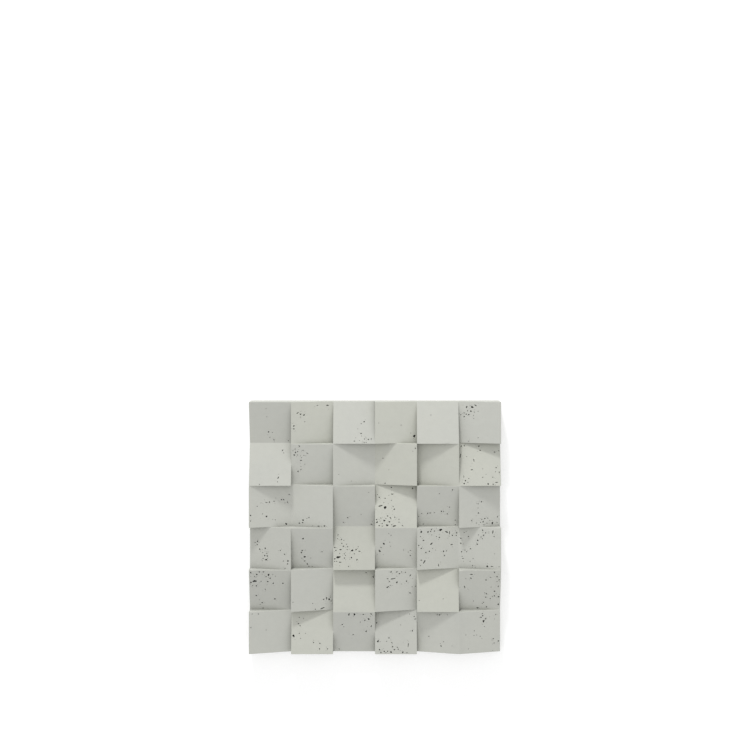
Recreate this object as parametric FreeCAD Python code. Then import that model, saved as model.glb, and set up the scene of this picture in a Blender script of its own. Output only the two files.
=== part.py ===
import FreeCAD
import Part
import itertools
import os

# A cast concrete wall panel whose face is a square grid of sloping blocks. One wedge shape makes
# every block: it is level along two opposite edges, one low and one high, and it is turned to one
# of four ways. The panel lies on its flat back: X runs to the right and Y to the top as it hangs
# on a wall, Z points out of the wall, and the origin is the middle of the back.

# Driving dimensions, in millimetres
BLOCK_SIDE = 100.0  # side of a square block, which is also the pitch of the grid
LOW_EDGE = 20.0  # thickness of the panel at the low edge of a block
HIGH_EDGE = 40.0  # thickness of the panel at the high edge of a block
CORNER_RADIUS = 1.5  # rounding of a raised corner that has a low block on both sides

# The way each block slopes down, as seen from the front with the top row first:
# U to the top, D to the bottom, L to the left and R to the right
LAYOUT = (
    "DRURUL",
    "UDRLLU",
    "RLDUDR",
    "LDUDRL",
    "DRURUD",
    "RUDULR",
)
ROWS = len(LAYOUT)
COLUMNS = len(LAYOUT[0])
WIDTH = COLUMNS * BLOCK_SIDE
HEIGHT = ROWS * BLOCK_SIDE
HALF_BLOCK = BLOCK_SIDE / 2

TURN_DEG = {"R": 0.0, "U": 90.0, "L": 180.0, "D": -90.0}  # from a block that slopes down to the right
SIDES = (-1, 1)  # left and right of a block, or its bottom and top

CENTRE = FreeCAD.Vector(0, 0, 0)
TO_THE_RIGHT = FreeCAD.Vector(1, 0, 0)
OUTWARD = FreeCAD.Vector(0, 0, 1)


def block_centre(row, column):
    """The middle of a block on the back of the panel."""
    x = (column + 0.5) * BLOCK_SIDE - WIDTH / 2
    y = HEIGHT / 2 - (row + 0.5) * BLOCK_SIDE
    return FreeCAD.Vector(x, y, 0)


def turn_deg(row, column):
    """How far a block is turned about the normal of the panel."""
    return TURN_DEG[LAYOUT[row][column]]


def is_high(row, column, side_x, side_y):
    """Whether a block stands at its full height at one of its corners."""
    downhill = FreeCAD.Rotation(OUTWARD, turn_deg(row, column)).multVec(TO_THE_RIGHT)
    return downhill.dot(FreeCAD.Vector(side_x, side_y, 0)) < 0


def stands_free(row, column, side_x, side_y):
    """Whether a corner is raised and has a low block on both of its sides."""
    beside = column + side_x
    beyond = row - side_y
    if not (0 <= beside < COLUMNS and 0 <= beyond < ROWS):
        return False
    beside_is_high = is_high(row, beside, -side_x, side_y)
    beyond_is_high = is_high(beyond, column, side_x, -side_y)
    return is_high(row, column, side_x, side_y) and not (beside_is_high or beyond_is_high)


def upright_edge(shape, foot):
    """The edge of a block that rises from a point of its plan."""
    def off_line(edge):
        return max(abs(v.X - foot.x) + abs(v.Y - foot.y) for v in edge.Vertexes)
    return min(shape.Edges, key=off_line)


def wedge(row, column):
    """The raised part of one block, on top of the slab, with its free corners rounded."""
    low_left = FreeCAD.Vector(-HALF_BLOCK, -HALF_BLOCK, LOW_EDGE)
    low_right = FreeCAD.Vector(HALF_BLOCK, -HALF_BLOCK, LOW_EDGE)
    high_left = FreeCAD.Vector(-HALF_BLOCK, -HALF_BLOCK, HIGH_EDGE)
    profile = Part.Face(Part.makePolygon([low_left, low_right, high_left, low_left]))
    shape = profile.extrude(FreeCAD.Vector(0, BLOCK_SIDE, 0))
    shape.rotate(CENTRE, OUTWARD, turn_deg(row, column))
    middle = block_centre(row, column)
    shape.translate(middle)
    for side_x, side_y in itertools.product(SIDES, SIDES):
        if stands_free(row, column, side_x, side_y):
            foot = middle + FreeCAD.Vector(side_x * HALF_BLOCK, side_y * HALF_BLOCK, 0)
            shape = shape.makeFillet(CORNER_RADIUS, [upright_edge(shape, foot)])
    return shape


def wall_panel():
    """The slab and all of its blocks as one cast piece."""
    slab = Part.makeBox(WIDTH, HEIGHT, LOW_EDGE, FreeCAD.Vector(-WIDTH / 2, -HEIGHT / 2, 0))
    blocks = [wedge(row, column) for row in range(ROWS) for column in range(COLUMNS)]
    return slab.fuse(blocks).removeSplitter()


os.makedirs("parts", exist_ok=True)
wall_panel().exportStep("parts/wall_panel.step")
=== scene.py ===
import math
import random
from collections import namedtuple

import bpy
import numpy as np
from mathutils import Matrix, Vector, noise
from mathutils.bvhtree import BVHTree
from mathutils.geometry import delaunay_2d_cdt


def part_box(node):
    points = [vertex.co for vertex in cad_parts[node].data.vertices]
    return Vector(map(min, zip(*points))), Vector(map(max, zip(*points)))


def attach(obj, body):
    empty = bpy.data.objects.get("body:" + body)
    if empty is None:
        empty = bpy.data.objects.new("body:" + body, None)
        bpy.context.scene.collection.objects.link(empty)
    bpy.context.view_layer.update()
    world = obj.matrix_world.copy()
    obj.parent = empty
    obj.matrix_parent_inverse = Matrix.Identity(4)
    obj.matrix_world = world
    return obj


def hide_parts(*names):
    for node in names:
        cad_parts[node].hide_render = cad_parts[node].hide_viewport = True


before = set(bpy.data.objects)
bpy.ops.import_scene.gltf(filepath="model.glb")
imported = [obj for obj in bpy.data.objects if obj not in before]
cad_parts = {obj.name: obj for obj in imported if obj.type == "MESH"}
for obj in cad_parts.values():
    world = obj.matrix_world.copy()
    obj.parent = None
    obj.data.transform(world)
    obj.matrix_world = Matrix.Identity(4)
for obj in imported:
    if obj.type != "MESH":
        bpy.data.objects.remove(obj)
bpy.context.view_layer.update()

# A square wall panel of cast concrete that lies on its back. Its face is a grid of sloping blocks,
# whose planes are read from the solid. The worn arrises and the open air pores are modelled here.
# Lengths on the panel are in millimetres. The camera, the light, the floor and the material are in metres.

NODE = "wall_panel"
MM = 0.001
BLOCKS = 6  # blocks along each side
SEED = 20
TINY = 1e-9  # keeps a division clear of zero

# Picture: the camera is straight above, past the top edge of the panel, and its frame is shifted down to it
IMAGE_SIDE = 750  # pixels of the square picture
SENSOR = 36.0  # width of the sensor, in millimetres
CAMERA_LENS = 44.83  # focal length, in millimetres
CAMERA_PLACE = Vector((0.0, 0.497, 2.26))
AXIS_PIXEL_Y = 319  # row of the picture that the lens axis meets
GRID_PIXEL_X = 248.8  # left edge of the grid of blocks in the picture
GRID_PIXEL_Y = 402.0  # top edge of it
GRID_PIXELS = 42.07  # side of a block's cell
HUNDREDTHS = 100  # parts of a cell's side in which places are given
SIGHT_STEPS = 5  # rounds in which a line of sight closes in on a sloping face

# Mesh lines, as distances from the edge of a block, and the spacing of the points elsewhere
EDGE_LINES = (0.2, 0.45, 0.8, 1.4)
EDGE_STRIP = EDGE_LINES[-1]  # width of the strip along an edge, which has no pores
OUTLINE_LINES = (0.0, 0.06)  # closer lines along the outline of the panel
SAMPLES = 27  # intervals along a block between its edge strips
FILL = 7.0  # spacing of the points inside a face
BACK_FILL = 25.0  # and inside the back
STRAY = 5  # the points stray from a straight grid by the spacing divided by this


# Relief of the solid

low, high = (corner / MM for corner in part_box(NODE))
SIDE = high.x - low.x
BLOCK = SIDE / BLOCKS
HALF = BLOCK / 2
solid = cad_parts[NODE].data
solid_tree = BVHTree.FromPolygons(
    [vertex.co / MM for vertex in solid.vertices],
    [polygon.vertices for polygon in solid.polygons],
)


def solid_height(x, y):
    """The height of the solid's face at a place on the panel."""
    return solid_tree.ray_cast(Vector((x, y, 2 * high.z)), Vector((0, 0, -1)))[0].z


def middle(index):
    """The middle of the blocks of a column, or of a row from the bottom."""
    return low.x + (index + 0.5) * BLOCK


def block_planes():
    """Height at the middle, slope along X and slope along Y of every block, by column and row."""
    planes = np.zeros((3, BLOCKS, BLOCKS))
    reach = HALF / 2
    for column in range(BLOCKS):
        for row in range(BLOCKS):
            x, y = middle(column), middle(row)
            rise_x = solid_height(x + reach, y) - solid_height(x - reach, y)
            rise_y = solid_height(x, y + reach) - solid_height(x, y - reach)
            planes[:, column, row] = solid_height(x, y), rise_x / HALF, rise_y / HALF
    return planes


PLANES = block_planes()


def plane_height(column, row, x, y):
    """The plane of a block, which may be carried on beyond its edges."""
    at_middle, slope_x, slope_y = PLANES[:, column, row]
    return at_middle + slope_x * (x - middle(column)) + slope_y * (y - middle(row))


def block_at(x, y):
    """The column and row of the block at each place."""
    column = np.floor((x - low.x) / BLOCK).astype(int)
    row = np.floor((y - low.y) / BLOCK).astype(int)
    return np.clip(column, 0, BLOCKS - 1), np.clip(row, 0, BLOCKS - 1)


def on_panel(column, row):
    """Whether there is a block in a column and row."""
    return (column >= 0) & (column < BLOCKS) & (row >= 0) & (row < BLOCKS)


def neighbour(column, row, step_x, step_y):
    """The column and row some steps away, and whether they are on the panel: if not, the nearest that are."""
    beside, beyond = column + step_x, row + step_y
    return np.clip(beside, 0, BLOCKS - 1), np.clip(beyond, 0, BLOCKS - 1), on_panel(beside, beyond)


# Worn face

ARRIS = 0.7  # usual radius of a worn arris
ARRIS_SPREAD = 0.35  # how far the radius wanders to either side of that
ARRIS_WAVE = 14.0  # length over which it wanders
CHIP = 2.6  # radius where a chip has come off
CHIP_WAVE = 7.0
CHIP_FROM = 0.5  # level of the noise from which an arris is chipped
LEAST_ROUNDING = 0.02  # share of the radius that is left where the neighbour is as high
WALL_SLOPE = 90.0  # fall of a block's side for each millimetre outwards
RIPPLE = 0.05  # unevenness of the cast faces
RIPPLE_WAVE = 45.0
ARRIS_LAYER, CHIP_LAYER, RIPPLE_LAYER = 1.5, 4.5, 8.5  # levels of the noise, too far apart to be alike


def wander(x, y, wave, layer):
    """Smooth noise from -1 to 1 at each place, with hills about one wave apart."""
    return np.array([noise.noise(Vector((a / wave, b / wave, layer))) for a, b in zip(x, y)])


def arris_radius(x, y):
    """The radius of a worn arris at each place."""
    radius = ARRIS + ARRIS_SPREAD * wander(x, y, ARRIS_WAVE, ARRIS_LAYER)
    chipped = np.clip((wander(x, y, CHIP_WAVE, CHIP_LAYER) - CHIP_FROM) / (1 - CHIP_FROM), 0, 1)
    return radius + (CHIP - ARRIS) * chipped


def edge_rounding(column, row, step_x, step_y, x, y, radius):
    """The radius of a block's edge towards a neighbour: next to none where the neighbour is as high."""
    beside, beyond, inside = neighbour(column, row, step_x, step_y)
    drop = plane_height(column, row, x, y) - plane_height(beside, beyond, x, y)
    drop = np.where(inside, drop, high.z)
    return radius * np.clip(drop / (2 * radius), LEAST_ROUNDING, 1)


def block_height(column, row, x, y, radius):
    """The height of one block at each place: its plane, rounded to its edges and gone beyond them."""
    side_x = np.where(x > middle(column), 1, -1)
    side_y = np.where(y > middle(row), 1, -1)
    round_x = edge_rounding(column, row, side_x, 0, x, y, radius)
    round_y = edge_rounding(column, row, 0, side_y, x, y, radius)
    # How far into the rounding a place is: 0 where it begins, 1 at the edge
    along_x = np.maximum(1 + (np.abs(x - middle(column)) - HALF) / round_x, 0)
    along_y = np.maximum(1 + (np.abs(y - middle(row)) - HALF) / round_y, 0)
    out = np.hypot(along_x, along_y)
    share = along_x ** 2 / np.maximum(out ** 2, TINY)
    rounding = round_x * share + round_y * (1 - share)
    fall = rounding * (1 - np.sqrt(1 - np.minimum(out, 1) ** 2))
    # The panel's own sides don't fall here, because they are added later
    past_x = along_x * on_panel(column + side_x, row)
    past_y = along_y * on_panel(column, row + side_y)
    past = np.maximum(np.hypot(past_x, past_y) - 1, 0)
    return plane_height(column, row, x, y) - fall - WALL_SLOPE * rounding * past


def face_height(x, y):
    """The height of the worn face at each place: the highest of the blocks that meet near it."""
    radius = arris_radius(x, y)
    column, row = block_at(x, y)
    step_x = np.where(x > middle(column), 1, -1)
    step_y = np.where(y > middle(row), 1, -1)
    height = np.zeros(len(x))
    for take_x, take_y in ((0, 0), (0, 1), (1, 0), (1, 1)):
        beside, beyond, inside = neighbour(column, row, take_x * step_x, take_y * step_y)
        found = block_height(beside, beyond, x, y, radius)
        height = np.maximum(height, np.where(inside, found, 0))
    return height + RIPPLE * wander(x, y, RIPPLE_WAVE, RIPPLE_LAYER)


# Pores

# Pores of each block of the face, read off, by row from the top and column from the left: how far to
# the right and up they are seen in the block's cell of the picture, in hundredths, and their size
PORES = {
    (1, 1): ((41, 84, .6), (43, 65, .6), (47, 29, 1.4), (56, 28, .6), (50, 16, .7), (60, 10, 1.1),
             (94, 8, .9)),
    (1, 2): ((23, 71, 1.3), (23, 64, .6), (31, 69, 1.5), (33, 53, .6), (7, 43, 1.4), (7, 36, 1.3)),
    (1, 3): ((74, 53, 1.3), (67, 49, .7), (59, 36, .5), (67, 25, 1.2), (68, 19, .5), (63, 8, .6),
             (75, 12, .9), (84, 11, 1.2), (91, 12, 1.), (79, 4, .7), (74, 3, .9)),
    (1, 4): ((9, 50, .6), (62, 45, .7), (85, 26, .6), (95, 19, 2.3)),
    (1, 5): ((33, 69, .7),),
    (1, 6): ((26, 91, .9), (31, 88, 2.1), (20, 79, .9), (28, 78, 1.5), (36, 76, .8), (45, 78, .6),
             (12, 74, 1.), (4, 70, .9), (17, 71, 1.1), (23, 70, 1.2), (12, 65, 1.2), (34, 68, .6),
             (35, 61, .6), (45, 15, .7), (23, 7, .9)),
    (2, 1): ((80, 85, 1.1), (83, 79, .7), (68, 10, .7), (25, 4, .8)),
    (2, 2): ((20, 95, 1.2), (10, 88, .9), (16, 82, 1.), (11, 80, 1.3), (8, 74, 1.4), (16, 74, .8),
             (29, 85, .9), (23, 72, .6), (31, 73, .7), (25, 68, .6), (5, 84, .6), (33, 52, .6),
             (24, 47, .6), (24, 40, .9), (17, 35, 1.3)),
    (2, 3): ((14, 28, .5), (44, 12, .5)),
    (2, 4): ((19, 66, .9), (33, 39, .5), (24, 6, 1.1), (96, 90, 1.1), (90, 83, .5)),
    (2, 5): (),
    (2, 6): ((5, 95, 1.2), (12, 96, 1.2), (84, 81, 1.2), (94, 84, .9), (18, 70, .5), (56, 41, .5),
             (64, 28, .5), (56, 21, .8), (11, 22, .9), (23, 18, .7), (15, 13, 1.3), (12, 6, 1.4),
             (21, 9, .8), (69, 5, 1.5), (88, 44, 1.), (86, 34, .7), (96, 33, 1.1), (80, 21, .9),
             (81, 3, 1.1)),
    (3, 1): ((96, 80, 1.), (77.5, 68, 1.15), (82.6, 68, 1.15), (92, 62, 1.), (86, 60, .6), (49, 62, 1.2),
             (29, 60, .6), (20, 52, .8), (33, 34, .7), (42, 28, 1.6), (57, 21, .5), (63, 20, .7),
             (3, 30, 1.2), (4, 17, .9), (89, 10, 1.7)),
    (3, 2): ((29, 19, 1.6), (20, 12, 1.3), (28, 13, 1.3), (43, 25, 1.1), (38, 23, .6), (52, 5, .6),
             (80, 4, 1.3)),
    (3, 3): ((35, 25, 1.1), (25, 14, .9), (67, 33, .6), (85, 85, .6)),
    (3, 4): ((39, 97, 1.2), (89, 95, 1.3), (10, 73, 1.1), (24, 71, 1.), (33, 78, .6), (39, 66, .7),
             (6, 80, .6), (21, 61, .6), (24, 49, 2.5), (46, 45, 1.3), (43, 52, .8), (30, 29, 1.2),
             (47, 26, 1.), (57, 21, .9), (22, 18, 1.7), (34, 15, 1.4), (4, 20, 1.2), (4, 14, 1.6),
             (14, 24, .9), (17, 11, 1.1), (10, 6, 1.1), (17, 5, .9), (57, 14, .8), (65, 6, .9),
             (26, 23, .7), (40, 8, 1.1), (12, 17, .6)),
    (3, 5): ((53, 82, .8), (84, 91, 1.1), (58, 40, 1.3), (63, 40, 1.2), (77, 50, .9), (72, 34, 1.1),
             (41, 37, .8), (25, 35, 1.2), (31, 36, 1.1), (11, 35, .8), (4, 28, .8), (91, 19, .9),
             (15, 10, .8), (91, 8, .9)),
    (3, 6): ((53, 63, 1.2), (45, 58, .9), (45, 48, .6), (46, 36, 1.3), (91, 27, 1.2), (61, 23, 1.2),
             (68, 24, .9), (54, 21, .9), (57, 15, 1.3), (51, 14, .8), (66, 12, .9), (30, 18, .9),
             (41, 12, .7), (90, 14, .8), (93, 7, .7), (59, 8, .9), (47, 8, .6), (73, 18, .7)),
    (4, 1): ((21, 69, 1.3), (15, 66, .8), (20, 61, 1.), (26, 50, 1.3), (39, 52, 1.4), (33, 42, .6),
             (43, 40, .9), (38, 35, 1.3), (44, 34, 1.3), (34, 28, .9), (45, 28, .9), (75, 47, .9),
             (85, 38, 1.2), (82, 22, .8), (93, 22, 1.5), (92, 15, 1.1), (86, 4, .8)),
    (4, 2): ((29, 75, 1.5), (27, 47, 1.3), (25, 42, 1.4), (35, 48, .6), (33, 32, 1.9), (26, 29, .6),
             (47, 29, .6), (32, 22, 1.), (39, 15, 1.3), (74, 44, .9), (43, 4, .9), (51, 4, .7)),
    (4, 3): ((12, 84, 1.), (11, 75, .7), (20, 73, 1.1), (26, 71, .6), (21, 64, 1.), (32, 62, .8),
             (25, 57, 1.2), (35, 56, .9), (4, 54, 1.2), (8, 54, .7), (7, 47, 1.1), (34, 49, .8),
             (46, 47, 1.9), (42, 44, .7), (55, 49, 1.3), (60, 56, .7), (51, 39, .9), (27, 39, .9),
             (30, 35, .7), (16, 40, .6), (27, 29, 1.), (44, 30, 1.3), (57, 25, 1.3), (4, 27, 1.3),
             (4, 21, .9), (9, 21, .8), (37, 9, .9)),
    (4, 4): ((33, 87, .7), (38, 83, .8), (21, 63, 1.8), (35, 67, .6), (37, 57, .7), (14, 54, 1.),
             (68, 48, .7), (84, 47, .9), (79, 43, .7)),
    (4, 5): ((56, 96, 2.4), (34, 97, 1.2), (10, 91, 1.9), (26, 91, 1.6), (32, 92, 1.1), (41, 93, 1.1),
             (50, 95, .8), (35, 84, .6), (53, 78, 1.3), (46, 80, .8), (15, 71, 1.3), (4, 59, 1.1),
             (10, 52, 1.3), (21, 42, 1.2), (29, 45, 1.2), (37, 52, .6), (44, 48, .5), (63, 45, 1.3),
             (70, 46, .9), (65, 35, 1.2), (84, 83, 1.2), (94, 89, 1.3), (93, 83, 1.1), (10, 24, 1.2),
             (8, 11, .9), (8, 80, .8), (76, 81, .6)),
    (4, 6): ((4, 76, 1.2), (4, 64, 1.3), (22, 80, 1.), (12, 90, .7), (17, 92, .5), (56, 95, 1.2),
             (58, 83, 1.2), (63, 89, 1.), (46, 84, .8), (52, 79, 1.), (44, 71, 1.4), (43, 62, 1.3),
             (55, 75, .9), (83, 80, .9), (71, 91, .5), (27, 51, 1.2), (6, 44, 1.2), (18, 44, .9),
             (14, 48, .9), (7, 33, .6), (33, 28, .8), (26, 21, .7), (32, 11, .9), (38, 7, .6),
             (67, 9, 1.7), (95, 8, .8), (84, 39, .5)),
    (5, 1): ((4, 94, 1.5), (25, 96, 1.2), (19, 90, 1.4), (14, 85, .9), (35, 96, 1.2), (47, 89, 1.8),
             (41, 85, .9), (51, 81, 1.2), (57, 90, .6), (63, 86, .6), (5, 71, 1.3), (29, 73, .9),
             (45, 73, 1.4), (58, 69, 1.3), (81, 69, 1.3), (9, 64, .9), (18, 63, 1.2), (39, 55, .9),
             (18, 40, 1.2), (62, 32, 1.4), (32, 23, 1.3), (27, 19, .7), (25, 30, .5), (34, 9, 1.1)),
    (5, 2): ((91, 31, 1.8), (78, 31, 1.2), (94, 36, 1.), (96, 27, 1.), (58, 5, .9), (52, 21, .7),
             (5, 24, .7)),
    (5, 3): ((79, 94, 1.), (96, 84, 1.3)),
    (5, 4): ((38, 96, 1.3), (52, 96, 1.2), (58, 92, 1.3), (63, 96, .9), (72, 95, .9), (34, 73, 1.),
             (52, 71, 1.6), (75, 74, 1.2), (36, 64, .9), (63, 67, .5), (83, 46, 1.3), (96, 62, .9),
             (88, 61, .7)),
    (5, 5): ((62, 32, .7), (5, 28, .6)),
    (5, 6): ((28, 81, 1.3), (16, 80, .7), (84, 95, 1.2), (64, 77, 1.3), (74, 83, .9), (90, 85, 1.2),
             (95, 77, 1.2), (90, 73, .7), (76, 60, .6), (93, 62, 1.2), (84, 50, 1.3), (65, 44, 1.2),
             (61, 46, .8), (63, 36, 1.2), (94, 37, 1.5), (84, 39, 1.2), (74, 33, 1.), (79, 38, .7),
             (58, 24, 1.), (55, 21, .7), (95, 19, 1.5), (65, 13, 1.2), (44, 9, 1.6), (34, 27, .7)),
    (6, 1): ((23, 96, .9), (8, 96, .7), (5, 64, .9), (41, 58, .7)),
    (6, 2): ((6, 44, 2.1), (20, 50, .9), (22, 68, 1.), (18, 73, 1.1), (20, 88, .8), (30, 86, .7),
             (35, 50, .6), (54, 28, 1.), (69, 26, 1.1), (68, 13, 1.1), (87, 13, 1.), (23, 38, .7)),
    (6, 3): ((51, 95, 1.9), (72, 95, 1.1), (91, 96, 1.4), (85, 84, 1.7), (76, 81, 1.2), (65, 77, .7),
             (22, 71, 1.2), (26, 66, .7), (79, 55, 1.3), (15, 13, 1.)),
    (6, 4): ((82, 96, .7), (93, 90, 1.), (96, 84, 1.1), (89, 56, 1.2), (61, 70, .6), (4, 75, 1.2),
             (33, 39, 1.2), (7, 31, 1.8), (12, 30, .7), (28, 31, .8), (40, 28, .9), (42, 18, 1.2),
             (46, 11, 1.3), (11, 11, 1.3), (14, 4, 1.2), (22, 7, 1.3), (30, 7, 1.), (38, 4, 1.6),
             (55, 12, 1.), (66, 4, 1.4), (76, 4, .9), (26, 4, .9), (53, 17, .9)),
    (6, 5): ((53, 94, 1.3), (48, 95, .9), (57, 96, .8), (72, 94, .7), (28, 43, .9), (55, 26, .5),
             (63, 30, .7), (83, 20, .5)),
    (6, 6): ((58, 79, 2.1), (56, 92, 1.2), (52, 88, 1.3), (55, 97, .9), (60, 66, .7), (87, 95, .9),
             (84, 84, .5), (36, 56, .8), (16, 46, .7), (35, 45, .7), (42, 46, .6), (50, 43, .7),
             (54, 38, .5), (81, 37, 1.1), (95, 32, 1.3), (83, 27, .9), (80, 9, .5), (22, 13, .5)),
}
# Long pores in the same way, with half their length, half their width and their angle in degrees
LONG_PORES = {
    (1, 2): ((16, 74, 2.2, .9, 35), (63, 92, 1.4, .6, 0), (87, 92, 2.2, 1.2, 0)),
    (1, 3): ((51, 7, 1.8, .6, 10),),
    (1, 6): ((18, 88, 2.3, 1.1, 60), (39, 92, 2.4, 1., -30)),
    (2, 1): ((70, 20, 2.4, .9, 60),),
    (2, 2): ((24, 61, 1.7, 1., 0), (39, 78, 2., .7, -35)),
    (2, 6): ((3, 72, 3.8, .9, 78), (47, 95, 1.9, 1.1, 0), (50, 85, 1.7, .8, -25), (35, 61, 3., .7, 100),
             (30, 39, 2.2, .7, 15), (89, 9, 2.5, .8, 5)),
    (3, 1): ((42, 61, 2., .8, -15), (60, 64, 1.6, .7, 5)),
    (3, 2): ((66, 4, 2.4, .7, 0),),
    (3, 3): ((92, 9, 1.9, .9, -30),),
    (3, 4): ((41, 81, 1.9, 1., 5), (13, 53, 4.2, 1., 15), (37, 24, 2.3, .9, -50), (46, 5, 3.3, 1.2, 10),
             (29, 7, 2.5, 1.4, -10)),
    (3, 6): ((79, 12, 2.6, 1.4, 75),),
    (4, 1): ((41, 25, 2.1, 1.5, 5),),
    (4, 3): ((13, 31, 3.9, 1.9, 2), (18, 49, 2., 1.1, 10), (63, 45, 2., .8, -20), (17, 19, 2., 1., 0)),
    (4, 4): ((11, 46, 2.9, 1.3, 125), (84, 35, 1.7, .7, -50)),
    (4, 5): ((70, 91, 2.9, 1.3, -35), (77, 89, 3.2, .8, 90), (34, 63, 3., 1.2, 35), (82, 61, 2.3, .9, 0),
             (17, 20, 3.7, 1.1, 60), (51, 12, 2.6, .8, 100)),
    (4, 6): ((80, 91, 3.3, 1., 75), (9, 28, 1.8, .6, 0), (78, 9, 2.2, .9, 0)),
    (5, 1): ((14, 74, 3.7, 1.9, 3),),
    (5, 2): ((85, 33, 2.7, 1., 95), (75, 9, 4., 1.1, 20)),
    (5, 4): ((43, 80, 4.5, 1., 8), (30, 80, 1.7, .7, -20), (30, 60, 2.5, 1.3, 35), (84, 88, 2.2, .9, 60)),
    (5, 6): ((29, 90, 2.7, .9, 0), (13, 60, 2.6, .9, 105)),
    (6, 3): ((38, 95, 2.2, 1.3, 90), (91, 67, 2., .8, 55), (48, 47, 1.9, .6, 20)),
    (6, 4): ((79, 22, 3.6, .7, 85),),
    (6, 5): ((57, 20, 1.7, .9, 115),),
    (6, 6): ((63, 85, 2., 1., 46),),
}
PORE_SIZE = 1.3  # radius of a pore of size 1
PORE_BLUR = 0.55  # pores look smaller than they are: their size is the hypotenuse of the listed one and this
NEAR_PORES = 3  # small pores around each pore that is large enough to have some
NEAR_SIZES = (0.25, 0.6)
NEAR_REACH = (1.7, 4.0)  # their distance, in radii of that pore
NEAR_FROM = 1.0  # size from which a pore has some
FINE_PORES = 6  # pinholes anywhere on a block besides those
FINE_SIZES = (0.2, 0.35)
SIDE_PORES = 60  # pores that are tried on each side of the panel
SIDE_SIZES = (0.3, 1.4)
SIDE_SKEW = 2  # power that makes small ones the more common there

PINHOLE = 0.6  # radius below which a pore is plainer
PINHOLE_POINTS = 8  # points around its rim
RIM_POINTS = 11  # least points around the rim of any other pore
RIM_POINTS_PER_MM = 2  # and more for each millimetre of half its length
PORE_RAGGED = 0.45  # how far an outline may wander in and out, in radii
WIDEST = 1 + PORE_RAGGED  # how far it can reach by that
ROUND_ENDS = 1.5  # how blunt the ends of a long pore are: 1 is an ellipse
PORE_GAP = 0.1  # least concrete between two pores
PORE_SHRINKS = (1.0, 0.85, 0.7, 0.55)  # scales to try for a pore that has too little room
PORE_DEPTH = 1.5  # depth of a pore, in radii
# Loops of points down a bowl: share of the radius, share of the depth, share of the darkest painted shade
PORE_RINGS = ((0.93, 0.35, 0.9), (0.62, 0.85, 1.0), (0.28, 1.0, 1.0))
PINHOLE_RINGS = ((0.75, 0.7, 0.95),)
PORE_DARK = 0.34  # painted shade at the bottom of the smallest pore
PORE_DARKER = 0.21  # how much it grows with each millimetre of radius
COLLAR = 1.7  # outer limit of the pale skin around a pore, in radii
COLLAR_SHADE = -0.08  # shade of that skin at the rim
COLLAR_POINTS = 8


class Pore:
    """An open air bubble: an irregular bowl sunk into a flat place."""

    def __init__(self, across, up, length, width, angle):
        self.across, self.up = across, up
        self.length, self.width, self.angle = length, width, angle
        self.pinhole = width < PINHOLE

    def scaled(self, scale):
        """The same pore, larger or smaller."""
        return Pore(self.across, self.up, self.length * scale, self.width * scale, self.angle)

    def spans(self):
        """How far it can go from its middle to the left or right, and up or down."""
        turn = math.radians(self.angle)
        across = math.hypot(self.length * math.cos(turn), self.width * math.sin(turn))
        up = math.hypot(self.length * math.sin(turn), self.width * math.cos(turn))
        return across * WIDEST, up * WIDEST

    def at(self, along, aside):
        """A place given along and across the length of the pore."""
        turn = math.radians(self.angle)
        return (self.across + along * math.cos(turn) - aside * math.sin(turn),
                self.up + along * math.sin(turn) + aside * math.cos(turn))

    def discs(self):
        """Middles of the discs, as wide as the pore, that together cover it."""
        if self.length == self.width:
            return [(self.across, self.up)]
        count = 2 * math.ceil(self.length / self.width - 1) + 1
        shifts = np.linspace(-1, 1, count) * (self.length - self.width)
        return [self.at(shift, 0) for shift in shifts]

    def clear_of(self, u, v, radius):
        """Whether concrete is left between this pore and a disc."""
        limit = self.width * WIDEST + radius + PORE_GAP
        return all(math.hypot(u - across, v - up) > limit for across, up in self.discs())

    def apart_from(self, other):
        """Whether concrete is left between this pore and another."""
        return all(self.clear_of(u, v, other.width * WIDEST) for u, v in other.discs())

    def outline(self, draw):
        """Points around its rim, anticlockwise: lobed, and ragged besides."""
        count = PINHOLE_POINTS if self.pinhole else RIM_POINTS + int(RIM_POINTS_PER_MM * self.length)
        oval, lobes = draw.uniform(0, math.tau), draw.uniform(0, math.tau)
        points = []
        for step in range(count):
            around = math.tau * step / count
            waves = math.sin(2 * around + oval), math.sin(3 * around + lobes), draw.uniform(-1, 1)
            reach = self.width * (1 + PORE_RAGGED * (sum(waves) / len(waves)))
            along = (self.length - self.width) * max(-1, min(ROUND_ENDS * math.cos(around), 1))
            points.append(self.at(along + reach * math.cos(around), reach * math.sin(around)))
        return points

    def drawn_in(self, outline, share):
        """An outline of it, drawn in towards its middle."""
        return [(self.across + share * (u - self.across), self.up + share * (v - self.up))
                for u, v in outline]

    def collar(self):
        """Points around it where its pale skin ends."""
        wide = COLLAR * self.width
        far = self.length - self.width + wide
        turns = [math.tau * step / COLLAR_POINTS for step in range(COLLAR_POINTS)]
        return [self.at(far * math.cos(turn), wide * math.sin(turn)) for turn in turns]


def with_room(wanted, fits=lambda pore: True):
    """The pores that fit beside each other, some of them made smaller for it."""
    kept = []
    for pore in wanted:
        for scale in PORE_SHRINKS:
            smaller = pore.scaled(scale)
            if fits(smaller) and all(smaller.apart_from(other) for other in kept):
                kept.append(smaller)
                break
    return kept


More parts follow.
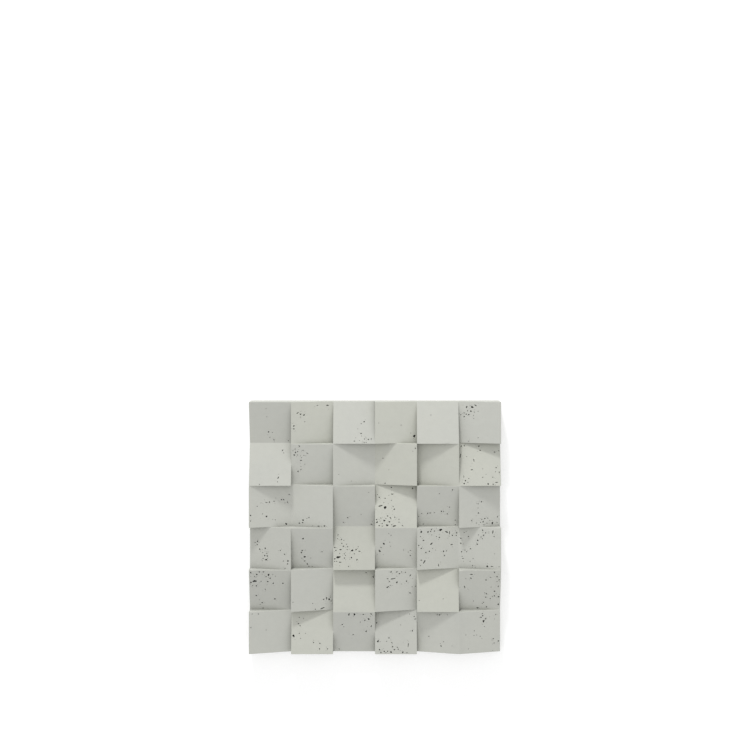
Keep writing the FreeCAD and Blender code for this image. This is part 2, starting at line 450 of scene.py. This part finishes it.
def seen_at(column, row, right, up):
    """The place on a block's face that is seen so far to the right and up in its cell of the picture."""
    pixel_x = GRID_PIXEL_X + (column + right / HUNDREDTHS) * GRID_PIXELS
    pixel_y = GRID_PIXEL_Y + (BLOCKS - row - up / HUNDREDTHS) * GRID_PIXELS
    height = high.z
    for _ in range(SIGHT_STEPS):
        scale = (CAMERA_PLACE.z / MM - height) * SENSOR / CAMERA_LENS / IMAGE_SIDE
        x = CAMERA_PLACE.x / MM + (pixel_x - IMAGE_SIDE / 2) * scale
        y = CAMERA_PLACE.y / MM - (pixel_y - AXIS_PIXEL_Y) * scale
        height = plane_height(column, row, x, y)
    return x, y


def listed_places(key):
    """The listed pores of one block, the longest first, with the sizes that they really have."""
    seen = [(right, up, size, size, 0) for right, up, size in PORES[key]]
    seen += LONG_PORES.get(key, ())
    seen.sort(key=lambda place: -place[2])
    return [(right, up, math.hypot(length, PORE_BLUR), math.hypot(width, PORE_BLUR), angle)
            for right, up, length, width, angle in seen]


def fine_places(listed, draw):
    """Small pores around the larger of the listed ones, and pinholes anywhere on the block."""
    fine = []
    for right, up, length, _, _ in listed * NEAR_PORES:
        if length >= NEAR_FROM:
            turn = draw.uniform(0, math.tau)
            far = PORE_SIZE * length * draw.uniform(*NEAR_REACH)
            size = draw.uniform(*NEAR_SIZES)
            fine.append((right + far * math.cos(turn), up + far * math.sin(turn), size, size, 0))
    for _ in range(FINE_PORES):
        size = draw.uniform(*FINE_SIZES)
        fine.append((draw.uniform(0, HUNDREDTHS), draw.uniform(0, HUNDREDTHS), size, size, 0))
    return fine


def kept_near(value, centre, room):
    """A value, or the nearest one that is within some room of a centre."""
    return min(max(value, centre - room), centre + room)


def block_pores(column, row, draw):
    """The pores of one block, on the panel, inside its edge strips."""
    listed = listed_places((BLOCKS - row, column + 1))
    wanted = []
    for right, up, length, width, angle in listed + fine_places(listed, draw):
        pore = Pore(*seen_at(column, row, right, up), length * PORE_SIZE, width * PORE_SIZE, angle)
        room_across, room_up = (HALF - EDGE_STRIP - PORE_GAP - span for span in pore.spans())
        pore.across = kept_near(pore.across, middle(column), room_across)
        pore.up = kept_near(pore.up, middle(row), room_up)
        wanted.append(pore)
    return with_room(wanted)


# Mesh of the panel

OUTER_CORNER = 1.6  # rounding in plan of the panel's own corners
SIDE_LINE = 0.5  # distance of a line on the sides from their upper edge
BACK_BEVEL = 0.8  # bevel along the edges of the back
SIDE_RUNS = ((1, 0, 0), (0, 1, 0), (-1, 0, 0), (0, -1, 0))  # the way that each side runs, anticlockwise
ALL_TRIANGLES = 0  # kind of triangulation: the pores are filled too, and left out afterwards
SAME_POINT = 1e-6  # distance up to which two points count as one
SHARP_DEG = 34.0  # edges sharper than this stay crisp

# Painted shade that darkens the inner corners at the foot of a wall, and the sides
CORNER_SHADE = 0.26
CORNER_REACH = 4.5  # distance over which it fades
CORNER_WALL = 8.0  # height of wall from which it is as dark as that
# painted shade on all sides and the back, which dims the top side where the key light falls on it
SIDE_SHADE = 0.2

# A few blocks that differ from the rest, by row from the top and column from the left
DULL_BLOCKS = ((4, 1), (4, 3), (5, 1), (6, 4))
PALE_BLOCKS = ((1, 4), (2, 2), (4, 4))
CREAM_BLOCKS = ((1, 2), (1, 4), (2, 4), (2, 5), (2, 6), (3, 4), (4, 3), (5, 3), (5, 5), (6, 2))
BLOCK_SHADE = 0.05  # how much darker or paler the first two kinds are

# A surface that is laid out in plan: what gives the places of a plan in space, the way in, and its painted
# shade
Surface = namedtuple("Surface", "place inward shade")


class Shell:
    """The points and faces of the panel's skin as they are added."""

    def __init__(self):
        self.points, self.faces, self.shade = [], [], []

    def add(self, place, shade=0.0):
        """A new point, whose number is returned."""
        self.points.append(tuple(place))
        self.shade.append(shade)
        return len(self.points) - 1

    def ring(self, outer, inner):
        """Quads from one closed loop of points to the next one inside it."""
        for here in range(len(outer)):
            after = (here + 1) % len(outer)
            self.faces.append((outer[here], outer[after], inner[after], inner[here]))

    def fan(self, loop, tip):
        """Triangles from a closed loop to one point."""
        for here in range(len(loop)):
            self.faces.append((loop[here], loop[(here + 1) % len(loop)], tip))

    def strip(self, above, below):
        """Quads between two rows of points along a side."""
        for here in range(len(above) - 1):
            self.faces.append((above[here + 1], above[here], below[here], below[here + 1]))


def add_bowl(shell, surface, pore, rim_plan, rim):
    """The bowl of a pore below its rim, darkened with painted shade."""
    depth = PORE_DEPTH * pore.width
    # painted shade, darkest at the bottom of the bowl
    darkest = min(PORE_DARK + PORE_DARKER * pore.width, 1)
    loop = rim
    rings = PINHOLE_RINGS if pore.pinhole else PORE_RINGS
    for share, sunk, shade in rings:
        spots = surface.place(pore.drawn_in(rim_plan, share))
        inner = [shell.add(Vector(spot) + surface.inward * depth * sunk, shade * darkest) for spot in spots]
        shell.ring(loop, inner)
        loop = inner
    tip = Vector(surface.place([(pore.across, pore.up)])[0]) + surface.inward * depth
    shell.fan(loop, shell.add(tip, darkest))


def add_triangles(shell, plan, index, outlines):
    """Triangles between the points of a plan, inside its first outline and outside the others."""
    spots = [Vector(spot) for spot in plan]
    result = delaunay_2d_cdt(spots, [], outlines, ALL_TRIANGLES, SAME_POINT, True)
    _, _, triangles, came_from, _, within = result
    for triangle, lies_in in zip(triangles, within):
        if list(lies_in) == [0]:  # in the first outline alone
            shell.faces.append(tuple(index[came_from[corner][0]] for corner in triangle))


def add_face(shell, surface, border, border_plan, pores, fill, draw):
    """A flat stretch inside a border of points that are there already, with its pores."""
    plan, index = list(border_plan), list(border)
    outlines = [list(range(len(plan)))]
    collars = []
    for pore in pores:
        rim_plan = pore.outline(draw)
        rim_shade = surface.shade if pore.pinhole else surface.shade + COLLAR_SHADE
        rim = [shell.add(spot, rim_shade) for spot in surface.place(rim_plan)]
        outlines.append(list(range(len(plan), len(plan) + len(rim))))
        plan += rim_plan
        index += rim
        add_bowl(shell, surface, pore, rim_plan, rim)
        if not pore.pinhole:
            collars += pore.collar()
    free = [(u, v) for u, v in collars + fill if all(pore.clear_of(u, v, 0) for pore in pores)]
    index += [shell.add(spot, surface.shade) for spot in surface.place(free)]
    plan += free
    add_triangles(shell, plan, index, outlines)


def scattered(left, right, bottom, top, spacing, draw):
    """Points about one spacing apart inside a rectangle, off a straight grid."""
    across, up = round((right - left) / spacing), round((top - bottom) / spacing)
    jitter = spacing / STRAY
    return [(left + (i + 0.5) * (right - left) / across + draw.uniform(-jitter, jitter),
             bottom + (j + 0.5) * (top - bottom) / up + draw.uniform(-jitter, jitter))
            for i in range(across) for j in range(up)]


def rectangle(left, right, bottom, top):
    """The four sides of a rectangle of mesh lines, anticlockwise, each without its last point."""
    return [[(i, bottom) for i in range(left, right)],
            [(right, j) for j in range(bottom, top)],
            [(i, top) for i in range(right, left, -1)],
            [(left, j) for j in range(top, bottom, -1)]]


def line_places():
    """The mesh lines across the panel, and the first and last inner line of each block."""
    places, spans = [], []
    for block in range(BLOCKS):
        start = low.x + block * BLOCK
        near = list(EDGE_LINES)
        inner = np.linspace(EDGE_STRIP, BLOCK - EDGE_STRIP, SAMPLES + 1)[1:-1]
        far = [BLOCK - line for line in reversed(EDGE_LINES)]
        if block == 0:
            near = list(OUTLINE_LINES) + near
        if block == BLOCKS - 1:
            far += [BLOCK - line for line in reversed(OUTLINE_LINES)]
        first = len(places) + len(near) - 1
        spans.append((first, first + SAMPLES))
        places += [start + line for line in (*near, *inner, *far)]
    return np.array(places), spans


def soften_corner(x, y):
    """Draws places near a corner of the panel in to a round outline, as a square is turned into a disc."""
    flat = SIDE / 2 - OUTER_CORNER
    across = np.clip((np.abs(x) - flat) / OUTER_CORNER, 0, 1)
    up = np.clip((np.abs(y) - flat) / OUTER_CORNER, 0, 1)
    back_x = OUTER_CORNER * across * (1 - np.sqrt(1 - up ** 2 / 2))
    back_y = OUTER_CORNER * up * (1 - np.sqrt(1 - across ** 2 / 2))
    return x - np.sign(x) * back_x, y - np.sign(y) * back_y


def add_edges(shell, lines, spans):
    """The strips along the edges of all blocks, with their arrises and walls. Returns the points by line."""
    inner_lines = {line for first, last in spans for line in range(first + 1, last)}
    inner_cells = {line for first, last in spans for line in range(first, last)}
    count = len(lines)
    used = [(i, j) for i in range(count) for j in range(count) if not {i, j} <= inner_lines]
    x, y = np.array([(lines[i], lines[j]) for i, j in used]).T
    z = face_height(x, y)
    x, y = soften_corner(x, y)
    number = {key: shell.add(spot) for key, spot in zip(used, zip(x, y, z))}
    for i in range(count - 1):
        for j in range(count - 1):
            if not {i, j} <= inner_cells:
                corners = (i, j), (i + 1, j), (i + 1, j + 1), (i, j + 1)
                shell.faces.append(tuple(number[corner] for corner in corners))
    return number


def on_face(spots):
    """The places of a plan on the worn face."""
    x, y = np.array(spots).T
    return np.stack([x, y, face_height(x, y)], 1)


def add_blocks(shell, lines, spans, number, draw):
    """The sloping faces of the blocks inside their edge strips."""
    face = Surface(on_face, Vector((0, 0, -1)), 0.0)
    for column, (left, right) in enumerate(spans):
        for row, (bottom, top) in enumerate(spans):
            keys = sum(rectangle(left, right, bottom, top), [])
            border = [number[key] for key in keys]
            plan = [(lines[i], lines[j]) for i, j in keys]
            fill = scattered(lines[left], lines[right], lines[bottom], lines[top], FILL, draw)
            pores = block_pores(column, row, draw)
            add_face(shell, face, border, plan, pores, fill, draw)


def on_blocks(blocks, x, y):
    """Whether each place is on one of some blocks, which are given by row from the top and column."""
    column, row = block_at(x, y)
    return sum((row == BLOCKS - from_top) & (column == from_left - 1) for from_top, from_left in blocks)


def painted_shade_and_tone(x, y):
    """How much darker each place is: painted shade at the foot of a wall, and the tone of a dull or pale
    block.
    """
    column, row = block_at(x, y)
    shade = np.zeros(len(x))
    for step_x, step_y in ((1, 0), (-1, 0), (0, 1), (0, -1)):
        beside, beyond, inside = neighbour(column, row, step_x, step_y)
        rise = plane_height(beside, beyond, x, y) - plane_height(column, row, x, y)
        away = HALF - (x - middle(column)) * step_x - (y - middle(row)) * step_y
        # painted shade where a higher neighbour's wall rises beside this block
        dark = CORNER_SHADE * np.exp(-away / CORNER_REACH) * np.clip(rise / CORNER_WALL, 0, 1)
        shade += np.where(inside, dark, 0)
    return shade + BLOCK_SHADE * (on_blocks(DULL_BLOCKS, x, y) - on_blocks(PALE_BLOCKS, x, y))


def within_side(upper_line, across, up, rim):
    """Whether a disc lies within a side, whose upper line is given in plan."""
    over = upper_line[np.abs(upper_line[:, 0] - across) < rim + FILL / 2, 1].min()
    return abs(across) + rim < SIDE / 2 and rim < up < over - rim


def side_pores(upper_line, draw):
    """The pores of one side."""
    smallest, largest = SIDE_SIZES
    wanted = []
    for _ in range(SIDE_PORES):
        radius = PORE_SIZE * (smallest + (largest - smallest) * draw.random() ** SIDE_SKEW)
        wanted.append(Pore(draw.uniform(-SIDE / 2, SIDE / 2), draw.uniform(0, high.z), radius, radius, 0))

    def fits(pore):
        return within_side(upper_line, pore.across, pore.up, max(pore.spans()) + EDGE_STRIP)

    return with_room(wanted, fits)


def add_side(shell, run, outline, upper, foot, back, draw):
    """One side from the outline of the face down to the back, between rows of points along it."""
    along = Vector(run)
    inward = Vector((-along.y, along.x, 0))

    def place(spots):
        return [along * u - inward * SIDE / 2 + Vector((0, 0, v)) for u, v in spots]

    upper_plan = [(along.dot(Vector(shell.points[spot])), shell.points[spot][2]) for spot in upper]
    foot_plan = [(u, BACK_BEVEL) for u, _ in upper_plan]
    upper_line = np.array(upper_plan)
    pores = side_pores(upper_line, draw)
    spots = scattered(-SIDE / 2, SIDE / 2, 0, high.z, FILL, draw)
    fill = [(u, v) for u, v in spots if within_side(upper_line, u, v, EDGE_STRIP)]
    # the side carries painted shade
    surface = Surface(place, inward, SIDE_SHADE)
    add_face(shell, surface, foot + upper[::-1], foot_plan + upper_plan[::-1], pores, fill, draw)
    shell.strip(outline, upper)
    shell.strip(foot, back)


def add_back(shell, loop, draw):
    """The back inside its loop of points. It is seen from below, so its plan is mirrored."""
    def place(spots):
        return [(-u, v, 0) for u, v in spots]

    border = loop[::-1]
    plan = [(-shell.points[spot][0], shell.points[spot][1]) for spot in border]
    half = SIDE / 2 - BACK_FILL / 2
    fill = scattered(-half, half, -half, half, BACK_FILL, draw)
    # the back carries painted shade
    add_face(shell, Surface(place, Vector((0, 0, 1)), SIDE_SHADE), border, plan, [], fill, draw)


def add_sides(shell, number, last, draw):
    """The four sides down to the back, and the back."""
    sides = rectangle(0, last, 0, last)
    outline = {key: number[key] for side in sides for key in side}
    places = {key: shell.points[spot] for key, spot in outline.items()}
    inset = 1 - 2 * BACK_BEVEL / SIDE
    drop = Vector((0, 0, SIDE_LINE))
    # the sides, the back and the outline of the face carry painted shade
    foot = {key: shell.add((x, y, BACK_BEVEL), SIDE_SHADE) for key, (x, y, _) in places.items()}
    back = {key: shell.add((x * inset, y * inset, 0), SIDE_SHADE) for key, (x, y, _) in places.items()}
    upper = {key: shell.add(Vector(place) - drop, SIDE_SHADE) for key, place in places.items()}
    for spot in outline.values():
        shell.shade[spot] = SIDE_SHADE
    for side, following, run in zip(sides, sides[1:] + sides[:1], SIDE_RUNS):
        keys = side + following[:1]
        rows = [[loop[key] for key in keys] for loop in (outline, upper, foot, back)]
        add_side(shell, run, *rows, draw)
    add_back(shell, list(back.values()), draw)


def panel_skin():
    """The whole skin of the panel, and how creamy each of its points is."""
    draw = random.Random(SEED)
    shell = Shell()
    lines, spans = line_places()
    number = add_edges(shell, lines, spans)
    add_blocks(shell, lines, spans, number, draw)
    x, y, _ = np.array(shell.points).T
    # painted shade at the foot of the walls, and the tones of the dull and pale blocks
    shell.shade = list(np.minimum(np.array(shell.shade) + painted_shade_and_tone(x, y), 1))
    add_sides(shell, number, len(lines) - 1, draw)
    cream = np.zeros(len(shell.points))
    cream[:len(x)] = on_blocks(CREAM_BLOCKS, x, y)
    return shell, cream


def linked(name, data):
    """A new object in the scene."""
    item = bpy.data.objects.new(name, data)
    bpy.context.scene.collection.objects.link(item)
    return item


def build_panel():
    """The dressed panel as one piece."""
    shell, cream = panel_skin()
    mesh = bpy.data.meshes.new("panel_concrete")
    mesh.from_pydata([Vector(spot) * MM for spot in shell.points], [], shell.faces)
    for name, values in (("shade", shell.shade), ("cream", cream)):
        mesh.attributes.new(name, "FLOAT", "POINT").data.foreach_set("value", values)
    mesh.shade_smooth()
    mesh.set_sharp_from_angle(angle=math.radians(SHARP_DEG))
    return linked("panel_concrete", mesh)


# Concrete

COOL_GREY = (0.509, 0.516, 0.481, 1)
WARM_GREY = (0.535, 0.541, 0.491, 1)
CREAM = (1.0, 1.0, 0.976, 1)  # tint of the creamier blocks
# Layers of noise: hills to the metre, and detail
CLOUDS = (9.0, 3.0)  # broad cooler and warmer patches
MOTTLES = (75.0, 4.0)
GRAINS = (1300.0, 3.0)
NOISE_LEVELS = (0.25, 0.75)  # levels between which nearly all of the noise lies
MOTTLE_SHADES = (0.98, 1.02)
GRAIN_SHADES = (0.95, 1.05)
GRAIN_HEIGHT = 0.00025
GRAIN_STRENGTH = 0.6
SHADE_LEVELS = (-1.0, 1.0)  # from palest to darkest, with 0 for the colour as it is
PORE_LEFT = 0.07  # share of the colour that is left where the painted shade is darkest
ROUGHNESS = (0.8, 0.98)
SPECULAR = 0.25


class Nodes:
    """A material whose nodes are added one after the other."""

    def __init__(self, name):
        self.material = bpy.data.materials.new(name)
        self.material.use_nodes = True
        self.shader = self.material.node_tree.nodes["Principled BSDF"]

    def feed(self, node, inputs):
        """Sets the inputs of a node to a value or to the output of another node."""
        for name, value in inputs.items():
            if isinstance(value, bpy.types.NodeSocket):
                self.material.node_tree.links.new(value, node.inputs[name])
            else:
                node.inputs[name].default_value = value

    def add(self, kind, output, inputs, **settings):
        """A new node, of which one output is returned."""
        node = self.material.node_tree.nodes.new("ShaderNode" + kind)
        for name, value in settings.items():
            setattr(node, name, value)
        self.feed(node, inputs)
        return node.outputs[output]

    def noise(self, place, per_m, detail):
        """Noise around one half, with so many hills to the metre."""
        return self.add("TexNoise", "Fac", {"Vector": place, "Scale": per_m, "Detail": detail})

    def mapped(self, value, levels, results):
        """A value moved from one range to another."""
        ranges = {"From Min": levels[0], "From Max": levels[1], "To Min": results[0], "To Max": results[1]}
        return self.add("MapRange", "Result", {"Value": value, **ranges})

    def multiplied(self, colour, by, share=1.0):
        """A colour multiplied by another or by a number, wholly or by a share."""
        inputs = {"Fac": share, "Color1": colour, "Color2": by}
        return self.add("MixRGB", "Color", inputs, blend_type="MULTIPLY")


def concrete():
    """Pale cast concrete: cloudy and finely grained, dull, and darkened by painted shade in its pores, at the
    foot of its walls and on its sides.
    """
    nodes = Nodes("concrete")
    place = nodes.add("TexCoord", "Object", {})
    cloud = nodes.noise(place, *CLOUDS)
    mottle = nodes.noise(place, *MOTTLES)
    grain = nodes.noise(place, *GRAINS)
    cream = nodes.add("Attribute", "Fac", {}, attribute_name="cream")
    shade = nodes.add("Attribute", "Fac", {}, attribute_name="shade")
    colour = nodes.add("MixRGB", "Color", {"Fac": cloud, "Color1": COOL_GREY, "Color2": WARM_GREY})
    colour = nodes.multiplied(colour, nodes.mapped(mottle, NOISE_LEVELS, MOTTLE_SHADES))
    colour = nodes.multiplied(colour, nodes.mapped(grain, NOISE_LEVELS, GRAIN_SHADES))
    colour = nodes.multiplied(colour, CREAM, cream)
    # painted shade in the pores, at the wall feet and on the sides, with the block tones and the paler skin
    # around pores
    colour = nodes.multiplied(colour, nodes.mapped(shade, SHADE_LEVELS, (2 - PORE_LEFT, PORE_LEFT)))
    rough = nodes.mapped(mottle, (0.0, 1.0), ROUGHNESS)
    bump = nodes.add("Bump", "Normal", {"Height": grain, "Distance": GRAIN_HEIGHT,
                                        "Strength": GRAIN_STRENGTH})
    nodes.feed(nodes.shader, {"Base Color": colour, "Roughness": rough, "Normal": bump,
                              "Specular IOR Level": SPECULAR})
    return nodes.material


# Camera, light and floor

KEY_PLACE = Vector((-0.48, 3.5, 1.09))
KEY_WIDTH = 0.46
KEY_WATTS = 72.0
SKY_POWER = 0.845
FLOOR_SIDE = 12.0
FLOOR_COLOUR = (0.9, 0.9, 0.9, 1)
FLOOR_GLOW = 0.25  # light of its own, which keeps the floor white in the picture
WHITE = (1, 1, 1, 1)


def add_camera():
    """A camera straight above the panel, past its top edge, with the frame shifted down to it."""
    camera = linked("camera", bpy.data.cameras.new("camera"))
    camera.location = CAMERA_PLACE
    camera.data.lens = CAMERA_LENS
    camera.data.sensor_width = SENSOR
    camera.data.shift_y = (AXIS_PIXEL_Y - IMAGE_SIDE / 2) / IMAGE_SIDE
    bpy.context.scene.camera = camera
    bpy.context.scene.view_settings.view_transform = "Standard"


def add_light():
    """Even light from all around and one soft low light from beyond the panel's top edge."""
    key = linked("key", bpy.data.lights.new("key", "AREA"))
    key.location = KEY_PLACE
    key.rotation_euler = KEY_PLACE.to_track_quat("Z", "Y").to_euler()
    key.data.shape = "DISK"
    key.data.size = KEY_WIDTH
    key.data.energy = KEY_WATTS
    key.visible_camera = False
    world = bpy.data.worlds.new("studio")
    world.use_nodes = True
    background = world.node_tree.nodes["Background"]
    background.inputs["Color"].default_value = WHITE
    background.inputs["Strength"].default_value = SKY_POWER
    bpy.context.scene.world = world


def add_floor():
    """A plain white floor."""
    half = FLOOR_SIDE / 2
    corners = [(-half, -half, 0), (half, -half, 0), (half, half, 0), (-half, half, 0)]
    mesh = bpy.data.meshes.new("floor")
    mesh.from_pydata(corners, [], [(0, 1, 2, 3)])
    nodes = Nodes("floor")
    nodes.feed(nodes.shader, {"Base Color": FLOOR_COLOUR, "Roughness": 1.0, "Specular IOR Level": 0.0,
                              "Emission Color": WHITE, "Emission Strength": FLOOR_GLOW})
    mesh.materials.append(nodes.material)
    floor = linked("floor", mesh)


add_camera()
add_light()
add_floor()
panel = build_panel()
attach(panel, "root")
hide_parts(NODE)
panel.data.materials.append(concrete())
